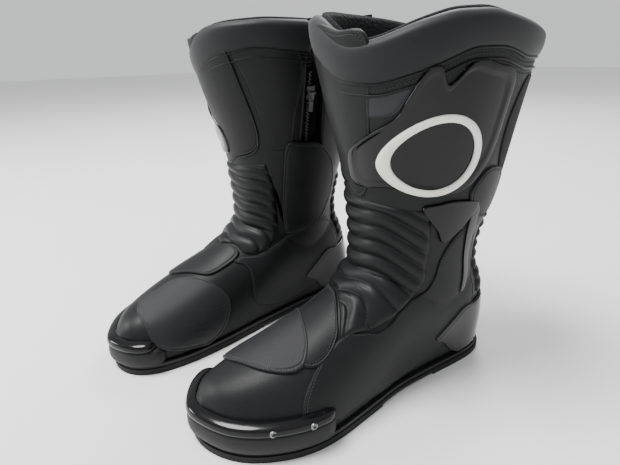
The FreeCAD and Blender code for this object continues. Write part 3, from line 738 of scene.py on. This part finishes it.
FLAP = tuple(zip(*SKIN.place([p[0] for p in FLAP_SIDE], [p[1] for p in FLAP_SIDE], 2, -1)))


def both_sides(build):
    """Run a building step for each boot."""
    for boot in BOOTS:
        build(boot)
    return {"FINISHED"}


# ---------------------------------------------------------------- pieces

class BOOTS_OT_finishes(bpy.types.Operator):
    """Make the finishes and give them to the pieces of the frame that stay in sight"""
    bl_idname = "boots.finishes"
    bl_label = "Finishes"

    KEPT = {"outsole": "boot_rubber", "midsole": "boot_welt", "shank": "boot_steel",
            "insole_board": "boot_board", "footbed": "boot_footbed", "toe_box": "boot_board",
            "collar_gusset": "boot_stretch", "zip_tapes": "boot_tape", "loop_patch": "boot_hook_loop",
            "hook_patch": "boot_hook_loop", "zip_slider": "boot_gunmetal", "zip_pull": "boot_gunmetal"}

    def execute(self, context):
        tones = colours()
        leather("boot_leather", tones.leather, 0.46)
        leather("boot_flex_leather", shade(tones.leather, 0.95), 0.42, grain=1100.0, depth=0.00008)
        leather("boot_collar_leather", tones.collar, 0.52, grain=1300.0, depth=0.00006, sheen=0.08)
        leather("boot_band", tones.band, 0.6, grain=1500.0, depth=0.00006, sheen=0.1)
        leather("boot_piping", shade(tones.leather, 0.9), 0.38, grain=1400.0, depth=0.00004)
        moulded("boot_gloss", tones.gloss, 0.12, 0.12)
        moulded("boot_badge", tones.badge, 0.3, 0.2)
        woven("boot_stretch", tones.mesh, 260.0)
        woven("boot_tape", shade(tones.leather, 0.7), 420.0)
        woven("boot_thread", tones.thread, 900.0, 0.6, 0.0001)
        woven("boot_footbed", shade(tones.band, 0.7), 300.0)
        fleece("boot_fleece", shade(tones.collar, 0.75))
        fleece("boot_hook_loop", tones.rubber)
        embossed("boot_pad", tones.collar)
        rubber("boot_rubber", tones.rubber)
        rubber("boot_block", shade(tones.rubber, 1.2), 0.5)
        rubber("boot_welt", shade(tones.rubber, 1.6), 0.42)
        rubber("boot_board", (0.20, 0.15, 0.10), 0.9)
        metal("boot_gunmetal", (0.22, 0.22, 0.23))
        metal("boot_steel", (0.45, 0.45, 0.46))
        for boot in BOOTS:
            for node, finish in self.KEPT.items():
                for slot in frame["nodes"][f"{boot.side}_{node}"].material_slots:
                    slot.material = bpy.data.materials[finish]
        return {"FINISHED"}


def foot_leather(boot):
    """The leather of foot and ankle as one sock, lower behind the zip, closed at the toe by a small dome."""
    turn = np.arange(0, 360, 2.5)
    top = curve_of([(-180, 57), (-132, 57), (-114, 78), (-56, 78), (-38, 57), (150, 57)])(turn)
    shares = np.linspace(0, 1, 145)
    tip = SKIN.at(SKIN.last, turn)
    middle = tip.mean(0)

    def sheet(height):
        level = np.full(len(turn), height)
        rows = [SKIN.lift(top + (SKIN.last - top) * share, turn, level) for share in shares]
        ring = rows[-1]
        for angle in np.radians((20, 40, 58, 72, 82, 88)):
            dome = middle + (ring - middle) * math.cos(angle)
            dome[:, 0] = ring[:, 0] + (4.0 + height) * math.sin(angle)
            rows.append(dome)
        return np.array(rows)
    return make(boot, "foot_leather", shell(sheet(0.0), sheet(-1.8), True), "boot_leather",
                replaces=("vamp", "quarters"))


def leather_panel(boot, name, outline, height, finish="boot_leather", slot="upper_leather", **extra):
    """A panel with a groove along its border, and the two rows of stitches in that groove."""
    piece = make(boot, name, patch(outline, height, groove=2.6, rings=22, **extra), finish)
    rows = [stitches(*inset(outline, distance, height - 0.25), True) for distance in (2.1, 4.0)]
    make(boot, f"{name}_stitches", merged(*rows), "boot_thread")
    return piece


class BOOTS_OT_foot(bpy.types.Operator):
    """Build the leather of the foot with its quarters, overlay and shift pad"""
    bl_idname = "boots.foot"
    bl_label = "Foot leather"

    def build(self, boot):
        panel = length("panel")
        foot_leather(boot)
        leather_panel(boot, "outer_quarter", OUTER_QUARTER, panel)
        leather_panel(boot, "inner_quarter", INNER_QUARTER, panel)
        leather_panel(boot, "instep_overlay", OVERLAY, panel + 0.9)
        outline = LEFT_PAD if boot.side == "left" else RIGHT_PAD
        pad = make(boot, "shift_pad_cover", patch(outline, panel + 1.9, groove=2.8, rings=22), "boot_pad",
                   replaces=("shift_pad",))
        rows = [stitches(*inset(outline, distance, panel + 1.6), True) for distance in (2.2, 4.2)]
        make(boot, "shift_pad_stitches", merged(*rows), "boot_thread")

    def execute(self, context):
        return both_sides(self.build)


def bellows(top, bottom, left, right, pitch, rib, centre, sag):
    """Sewn ribs between two borders of (station, turn) points, with their stitches.

    The valleys run level at the centre and sag towards both sides; pitch is their distance at the centre.
    """
    across_share = np.linspace(0, 1, 61)
    down_share = np.linspace(0, 1, 200)
    down, over = np.meshgrid(down_share, across_share, indexing="ij")
    high, low = np.interp(over, (0, 1), top), np.interp(over, (0, 1), bottom)
    station = high + (low - high) * down
    start = np.interp(station, *zip(*left))
    turn = start + (np.interp(station, *zip(*right)) - start) * over
    spine = SKIN.at(station, turn)
    steps = np.linalg.norm(np.diff(spine, axis=0), axis=2)
    along = np.concatenate([np.zeros((1, len(across_share))), np.cumsum(steps, axis=0)])
    width = np.linalg.norm(np.diff(spine, axis=1), axis=2).sum(1)[:, None]
    line = SKIN.at(np.linspace(min(top) - 4, max(bottom) + 4, 160), centre)
    reach = np.r_[0, np.cumsum(np.linalg.norm(np.diff(line, axis=0), axis=1))]
    depth = -spine[..., 2] - sag * np.clip((np.abs(turn - centre) - 15) / 40, 0, None) ** 2
    depth = depth + 0.1 * sag * np.sin(turn / 9.0)
    phase = (np.interp(depth, -line[:, 2], reach) + np.clip(depth + line[-1, 2], 0, None)
             - np.clip(-line[0, 2] - depth, 0, None)) / pitch
    closeness = np.clip(np.gradient(along, axis=0) / (pitch * np.gradient(phase, axis=0)), 0.15, 1.0) ** 1.3
    border = np.minimum(np.minimum(over, 1 - over) * width, np.minimum(along, along[-1] - along))
    fade = np.clip(border / 5.0, 0, 1) ** 0.6
    height = 0.3 + (0.5 + rib * closeness * np.abs(np.sin(math.pi * phase)) ** 0.6) * fade
    height = np.where(border < 0.05, -0.6, height)
    top_sheet = SKIN.lift(station, turn, height)
    under = SKIN.lift(station, turn, np.full(station.shape, -1.0))
    threads = []
    for number in range(int(np.ceil(phase.min())), int(phase.max()) + 1):
        line, outs = [], []
        for j in range(2, len(across_share) - 2):
            if phase[4, j] < number < phase[-5, j]:
                place = [np.interp(number, phase[:, j], value[:, j]) for value in (station, turn)]
                line.append(SKIN.lift(*place, 0.95))
                outs.append(SKIN.out(*place))
        if len(line) > 6:
            threads.append(stitches(np.array(line), np.array(outs)))
    return shell(top_sheet, under), merged(*threads)


class BOOTS_OT_bellows(bpy.types.Operator):
    """Build the ribbed panels that bend over the instep and behind the ankle"""
    bl_idname = "boots.bellows"
    bl_label = "Bellows"

    FRONT = {"top": (52, 55), "bottom": (118, 128.5), "centre": 5, "sag": 22.0,
             "left": ((50, -36), (60, -44), (76, -49), (92, -51), (108, -48), (120, -36)),
             "right": ((50, 48), (56, 56), (66, 61), (80, 62), (92, 56), (108, 57), (120, 61), (129, 50))}
    REAR = {"top": (61, 61), "bottom": (84, 84), "centre": 180, "sag": 0.0,
            "left": ((60, 134), (84, 142)), "right": ((60, 226), (84, 218))}
    REAR_SHARE = 10.5 / 13.8

    def build(self, boot):
        front_pitch = length("rib_pitch")
        rear_pitch = front_pitch * self.REAR_SHARE
        for name, panel, node, pitch in (("front_bellows", self.FRONT, "front_flex_panel", front_pitch),
                                         ("rear_bellows", self.REAR, "rear_flex_panel", rear_pitch)):
            ribs, threads = bellows(pitch=pitch, rib=length("rib"), **panel)
            piece = make(boot, name, ribs, "boot_flex_leather", replaces=(node,))
            make(boot, f"{name}_stitches", threads, "boot_thread")

    def execute(self, context):
        return both_sides(self.build)


def shaft_wall(boot):
    """The padded leather wall of the shaft, slit for the zip, with its edges turned in along the slit."""
    bottom = curve_of([(-180, 63), (-140, 70), (-110, 79), (-60, 79), (-46, 60), (-20, 55), (0, 54), (45, 56),
                       (70, 62), (120, 64), (150, 62)])
    share = np.linspace(0, 1, 90)
    over = np.r_[0, 0, 0, 0, np.linspace(0, 1, 150), 1, 1, 1, 1]
    turned = np.r_[-8.2, -5, -2, -0.4, np.full(150, 0.9), -0.4, -2, -5, -8.2]
    down, round_ = np.meshgrid(share, over, indexing="ij")
    front, rear = zip_turns(20 + down * 50)
    turn = front + (rear + 360 - front) * round_
    station = COLLAR_EDGE(turn) - 1.5 + (bottom(turn) - COLLAR_EDGE(turn) + 1.5) * down
    for _ in range(3):
        front, rear = zip_turns(station)
        turn = front + (rear + 360 - front) * round_
    height = np.broadcast_to(turned, station.shape).copy()
    height[-1], height[0] = -0.8, -3
    top = SKIN.lift(station, turn, height)
    depth = np.where(station < 66, -8.4, np.interp(station, (66, 78), (-8.4, -2.0)))
    under = SKIN.lift(station, turn, depth)
    return make(boot, "shaft_leather", shell(top, under), "boot_leather",
                replaces=("shaft_shell",))


def piping(pairs, radius, height):
    line, outs = seam_line(pairs, height)
    return cord(line, outs, radius)


class BOOTS_OT_shaft(bpy.types.Operator):
    """Build the leather of the shaft, its panels, its piping and the stretch cloth of the calf"""
    bl_idname = "boots.shaft"
    bl_label = "Shaft leather"

    def build(self, boot):
        panel, radius = length("panel"), length("piping")
        shaft_wall(boot)
        leather_panel(boot, "colour_band", BAND, panel, "boot_band", "collar_leather")
        leather_panel(boot, "shin_panel", SHIN_ARCH, panel + 0.2, crown=0.8)
        leather_panel(boot, "inner_panel", INNER_PANEL, panel + 0.4)
        leather_panel(boot, "calf_leather", CALF_LEATHER, panel + 1.2)
        make(boot, "calf_stretch", patch(CALF_MESH, panel + 0.4, rings=20), "boot_stretch",
             replaces=("rear_stretch_panel",))
        turns = np.linspace(NOTCH_START + 3, NOTCH_END - 3, 60)
        edge = COLLAR_EDGE(turns)
        cords = [piping(np.c_[edge + drop, turns], radius, 1.5) for drop in (0.2, 2.6)]
        arch = [piping([(s + 0.4, t) for s, t in SHIN_ARCH[2:8]], radius * 0.9, panel + 0.6)]
        make(boot, "piping", merged(*cords, *arch), "boot_piping")
        rows = []
        for drop in (1.4, 3.9):
            rows.append(stitches(*seam_line(np.c_[edge + drop, turns], 1.15)))
        make(boot, "collar_stitches", merged(*rows), "boot_thread")

    def execute(self, context):
        return both_sides(self.build)


class BOOTS_OT_collar(bpy.types.Operator):
    """Build the padded collar and the fleece that lines the boot"""
    bl_idname = "boots.collar"
    bl_label = "Collar and lining"

    # the fleece's roll over the rim: how far below the rim, and how deep
    ROLL = ((0.6, -7.0), (-0.6, -8.2), (-0.8, -10.0), (0.3, -11.6))
    LINING_END = 116

    def build(self, boot):
        swell = length("collar")
        profile = smooth([(0, -1.5), (0, 1.2), (0.14, swell * 0.75), (0.5, swell), (0.84, swell * 0.85),
                          (0.97, swell * 0.4), (1.04, -1.5), (1.05, -5.0), (0.99, -8.0), (0.85, -9.6),
                          (0.4, -9.8), (0.05, -9.0)], 4, True)
        turns = np.linspace(NOTCH_START, NOTCH_END, 200)
        ends = np.minimum(np.arange(200), np.arange(200)[::-1])
        size = np.sqrt(np.clip(1 - (1 - np.minimum(ends / 3.0, 1)) ** 2, 0.02, 1))
        edge, rim = COLLAR_EDGE(turns), RIM_EDGE(turns)
        middle = profile.mean(0)
        rows = []
        for turn, low, high, grow in zip(turns, edge, rim, size):
            shape = middle + (profile - middle) * grow
            rows.append(SKIN.lift(low + (high - low) * shape[:, 0], np.full(len(shape), turn), shape[:, 1]))
        collar = make(boot, "collar", closed_stack(rows), "boot_collar_leather",
                      replaces=("collar_pad",))
        round_ = np.arange(0, 360, 2.5)
        high = RIM_EDGE(round_)
        rows = [SKIN.lift(high + drop, round_, np.full(len(round_), deep)) for drop, deep in self.ROLL]
        back = [SKIN.lift(high + 1.5, round_, np.full(len(round_), -9.9)) for _ in self.ROLL]
        for sheet, deep in ((rows, -11.8), (back, -10.2)):
            sheet += [SKIN.lift(high + (self.LINING_END - high) * share, round_, np.full(len(round_), deep))
                      for share in np.linspace(0.02, 1, 70)]
        make(boot, "fleece", shell(rows, back, True), "boot_fleece",
             replaces=("shaft_lining",))

    def execute(self, context):
        return both_sides(self.build)


class BOOTS_OT_guards(bpy.types.Operator):
    """Build the shin guard with its badge, the ankle brace and the heel guard"""
    bl_idname = "boots.guards"
    bl_label = "Guards"

    BADGE_AHEAD, BADGE_HEIGHT, BADGE_RADIUS, BADGE_WIDTH = 116.0, 222.0, 31.0, 5.6

    BORDER, SLOPE = 6.0, 1.4
    RIDGE_INSIDE, RIDGE_SPREAD, RIDGE_HEIGHT = 7.0, 1.2, 0.5

    def recess(self, gap):
        """The guard's face is sunk inside a raised border."""
        return -min(max((gap - self.BORDER) / self.SLOPE, 0.0), 1.0)

    def ridge(self, gap):
        """The heel guard has a soft ridge along its border."""
        return self.RIDGE_HEIGHT * math.exp(-((gap - self.RIDGE_INSIDE) / self.RIDGE_SPREAD) ** 2)

    def badge(self):
        around = np.linspace(0, 2 * math.pi, 121)[:-1]
        stand = length("guard") - 1.0
        rows = []
        for inward, rise in ((0, -0.6), (0.2, 1.5), (0.9, 2.2), (self.BADGE_WIDTH - 0.9, 2.2),
                             (self.BADGE_WIDTH - 0.2, 1.5), (self.BADGE_WIDTH, -0.6)):
            radius = self.BADGE_RADIUS - inward
            place = SKIN.place(self.BADGE_AHEAD + radius * np.cos(around), self.BADGE_HEIGHT
                               + radius * np.sin(around), 2, 1)
            rows.append(SKIN.lift(*place, np.full(len(around), stand + rise)))
        return shell(rows[:3], rows[5:2:-1], True)

    def build(self, boot):
        guard = length("guard")
        make(boot, "shin_guard", patch(GUARD, guard, edge=1.8, relief=self.recess, rings=24), "boot_gloss",
             body="shaft", replaces=("shin_plate",))
        make(boot, "badge", self.badge(), "boot_badge", body="shaft",
             replaces=("plate_badge",))
        brace = merged(patch(BRACE, guard, edge=1.6, rings=16), patch(BRACE_STRAP, guard - 0.6, edge=1.4))
        make(boot, "brace", brace, "boot_gloss", body="shaft", replaces=("ankle_brace",))
        turns = np.linspace(128, 232, 9)
        high = np.interp(turns, (128, 150, 180, 210, 232), (88, 84.5, 83, 84.5, 88))
        low = np.minimum(sole_station(turns) - 0.4, 97)
        outline = [*zip(high, turns), *list(zip(low, turns))[::-1]]
        make(boot, "heel_guard", patch(outline, guard - 0.4, edge=1.6, rings=16, relief=self.ridge),
             "boot_gloss", body="foot", replaces=("heel_counter",))

    def execute(self, context):
        return both_sides(self.build)


BAR_BACK, TAPER_STEPS = -3.0, 6


def sole_edge(start, end):
    """The sole's plan outline from a place on the outer side, round the toe, to one on the inner side."""
    out = [(u, FOOT_AT(u)[3] + FOOT_AT(u)[0]) for u in np.linspace(start, 294, 14)]
    back = [(u, FOOT_AT(u)[3] - FOOT_AT(u)[0]) for u in np.linspace(294, end, 8)]
    line = spaced(smooth([*out, (299.5, -3), (299.5, -12), *back], 6), 2.0)
    for _ in range(6):
        line[1:-1] = (line[:-2] + 2 * line[1:-1] + line[2:]) / 4
    return line


def swept(line, section):
    """A bar of the given section along a plan line; a section point is a reach and a height."""
    way = np.gradient(line, axis=0)
    way /= np.linalg.norm(way, axis=1, keepdims=True)
    side = np.stack([-way[:, 1], way[:, 0]], -1)
    if side[0, 1] < 0:
        side = -side
    section = smooth(section, 4, True)
    middle = section.mean(0)
    ends = np.minimum(np.arange(len(line)), np.arange(len(line))[::-1])
    grow = np.sqrt(np.clip(1 - (1 - np.minimum(ends / TAPER_STEPS, 1)) ** 2, 0.02, 1))
    rows = []
    for point, out, size in zip(line, side, grow):
        reach, height = section[:, 0] - BAR_BACK, section[:, 1] - middle[1]
        shape = np.stack([BAR_BACK + reach * size, middle[1] + height * size], -1)
        rows.append(np.c_[point + out * shape[:, :1], shape[:, 1]])
    return closed_stack(rows)


def turned(centre, profile):
    """A round part about an axis that points outward; the profile gives radii and distances outward."""
    angles = np.linspace(0, 2 * math.pi, 33)[:-1]
    rows = [np.stack([centre[0] + radius * np.cos(angles), np.full(32, centre[1] + rise),
                      centre[2] + radius * np.sin(angles)], -1) for radius, rise in profile]
    return closed_stack(rows)


class BOOTS_OT_toe(bpy.types.Operator):
    """Build the toe block, its glossy wear strip and the screws"""
    bl_idname = "boots.toe"
    bl_label = "Toe slider"

    BLOCK = ((-3, 8), (3.5, 8), (6.2, 11), (7.0, 16), (6.4, 22), (4.4, 26), (-3, 27))
    STRIP = ((-3, 26.8), (5.0, 26.6), (6.6, 28.2), (6.4, 31), (4.4, 33.8), (-3, 35))
    HEAD = ((0.1, -1.5), (2.9, -1.5), (2.9, 1.1), (2.3, 1.8), (1.7, 1.8), (1.6, 0.6), (0.1, 0.6))

    def build(self, boot):
        make(boot, "toe_block", swept(sole_edge(204, 262), self.BLOCK), "boot_block",
             body="foot", replaces=("toe_slider_body",))
        make(boot, "toe_strip", swept(sole_edge(204, 270), self.STRIP), "boot_gloss",
             body="foot", replaces=("toe_slider_strip",))
        heads = []
        for ahead in (228.0, 258.0):
            sole, _, _, out = FOOT_AT(ahead)
            heads.append(turned((ahead, out + sole + 6.0, 30.0), self.HEAD))
        make(boot, "toe_screws", merged(*heads), "boot_gunmetal", body="foot",
             replaces=("toe_slider_screws",))

    def execute(self, context):
        return both_sides(self.build)


class BOOTS_OT_zip(bpy.types.Operator):
    """Build the zip's teeth and the flap that closes over its lower half"""
    bl_idname = "boots.zip"
    bl_label = "Zip and flap"

    TOOTH_PITCH, TOOTH_LENGTH, TOOTH_DEPTH = 1.7, 1.1, 7.4

    def teeth(self):
        parts = []
        for number, along in enumerate(np.arange(2.0, ZIP_LENGTH - 1, self.TOOTH_PITCH)):
            side = 1 if number % 2 else -1
            rows = []
            for share, grow in ((0, 0.5), (0.15, 1), (0.85, 1), (1, 0.5)):
                rise, half = along + share * self.TOOTH_LENGTH, 0.65 * grow
                near, far = self.TOOTH_DEPTH - half, self.TOOTH_DEPTH + half
                corners = [(side * -0.5, near), (side * 1.9, near), (side * 1.9, far), (side * -0.5, far)]
                rows.append([zip_point(rise, over, depth) for over, depth in corners])
            parts.append(closed_stack(rows))
        return merged(*parts)

    def build(self, boot):
        make(boot, "zip_teeth", self.teeth(), "boot_gunmetal", body="shaft",
             replaces=("zip_coils",))
        flap = patch(FLAP, 5.4, edge=1.5, groove=3.4, under=2.2, rings=20)
        make(boot, "flap_leather", flap, "boot_leather", body="flap",
             replaces=("closure_flap",))
        rows = [stitches(*inset(FLAP, distance, 5.2), True) for distance in (2.8, 4.9)]
        make(boot, "flap_stitches", merged(*rows), "boot_thread", body="flap")

    def execute(self, context):
        return both_sides(self.build)


class BOOTS_OT_stage(bpy.types.Operator):
    """Lay the floor and set the lights and the camera"""
    bl_idname = "boots.stage"
    bl_label = "Stage"

    CAMERA_PLACE = (0.35335, -0.2124, 0.2975)
    CAMERA_HEADING, CAMERA_PITCH, CAMERA_ROLL = (-0.8332, 0.5530), 22.743, 1.445
    CAMERA_LENS = 25.84
    FLOOR_RINGS, FLOOR_GAP = (0.05, 1.0, 3.0, 6.0), 0.0003

    def floor(self):
        mesh = bpy.data.meshes.new("floor")
        angles = np.linspace(0, 2 * math.pi, 65)[:-1]
        ring = np.stack([np.cos(angles), np.sin(angles)], -1)
        level = np.full(len(angles), -self.FLOOR_GAP)
        rows = np.array([np.c_[ring * radius, level] for radius in self.FLOOR_RINGS])
        faces = ring_faces(len(rows), len(angles)).tolist() + [list(range(len(angles)))]
        mesh.from_pydata(rows.reshape(-1, 3).tolist(), [], faces)
        floor = bpy.data.objects.new("floor", mesh)
        bpy.context.collection.objects.link(floor)
        finish = Finish("stage_floor", 0.7)
        finish.paint(shade(colours().floor, 0.97), shade(colours().floor, 1.02), finish.noise(3.0))
        mesh.materials.append(finish.material)

    def light(self, name, place, target, size, power):
        lamp = bpy.data.lights.new(name, "AREA")
        lamp.shape, lamp.size, lamp.energy = "DISK", size, power
        item = bpy.data.objects.new(name, lamp)
        item.location = place
        item.rotation_euler = (Vector(target) - Vector(place)).to_track_quat("-Z", "Y").to_euler()
        bpy.context.collection.objects.link(item)

    def camera(self):
        heading = Vector((*self.CAMERA_HEADING, 0)).normalized()
        pitch, roll = math.radians(self.CAMERA_PITCH), math.radians(self.CAMERA_ROLL)
        right = heading.cross(Vector((0, 0, 1)))
        forward = heading * math.cos(pitch) - Vector((0, 0, 1)) * math.sin(pitch)
        up = right.cross(forward)
        level = right * math.cos(roll) - up * math.sin(roll)
        rise = right * math.sin(roll) + up * math.cos(roll)
        lens = bpy.data.cameras.new("camera")
        lens.lens, lens.clip_start = self.CAMERA_LENS, 0.01
        item = bpy.data.objects.new("camera", lens)
        turn = Matrix((level, rise, -forward)).transposed().to_4x4()
        item.matrix_world = Matrix.Translation(self.CAMERA_PLACE) @ turn
        bpy.context.collection.objects.link(item)
        bpy.context.scene.camera = item

    def execute(self, context):
        self.floor()
        self.light("key", (-0.3, -0.7, 2.1), (0, 0, 0.1), 1.0, 85.0)
        self.light("front", (-1.1, -1.6, 0.9), (0, 0, 0.15), 0.6, 22.0)
        self.light("back", (-1.0, 1.3, 1.7), (0, 0, 0.15), 0.9, 30.0)
        world = bpy.data.worlds.new("studio")
        world.use_nodes = True
        sky = world.node_tree.nodes["Background"]
        sky.inputs["Color"].default_value = (0.93, 0.94, 0.95, 1)
        sky.inputs["Strength"].default_value = 0.85
        context.scene.world = world
        self.camera()
        return {"FINISHED"}


OPERATORS = (BOOTS_OT_stage, BOOTS_OT_finishes, BOOTS_OT_foot, BOOTS_OT_bellows, BOOTS_OT_shaft,
             BOOTS_OT_collar, BOOTS_OT_guards, BOOTS_OT_toe, BOOTS_OT_zip)


class BOOTS_PT_panel(bpy.types.Panel):
    """Sizes, colours and building steps of the boots"""
    bl_idname = "BOOTS_PT_panel"
    bl_label = "Riding boots"
    bl_space_type = "VIEW_3D"
    bl_region_type = "UI"
    bl_category = "Boots"

    def draw(self, context):
        for group in (context.scene.boot_sizes, context.scene.boot_colours):
            box = self.layout.box()
            for name in group.__annotations__:
                box.prop(group, name)
        for operator in OPERATORS:
            self.layout.operator(operator.bl_idname)


CLASSES = (BootColours, BootSizes, *OPERATORS, BOOTS_PT_panel)


def register():
    for item in CLASSES:
        bpy.utils.register_class(item)
    bpy.types.Scene.boot_colours = bpy.props.PointerProperty(type=BootColours)
    bpy.types.Scene.boot_sizes = bpy.props.PointerProperty(type=BootSizes)


def unregister():
    del bpy.types.Scene.boot_sizes
    del bpy.types.Scene.boot_colours
    for item in reversed(CLASSES):
        bpy.utils.unregister_class(item)


def main():
    register()
    for operator in OPERATORS:
        step = operator.bl_idname.split(".")[1]
        getattr(bpy.ops.boots, step)()


if __name__ == "__main__":
    main()
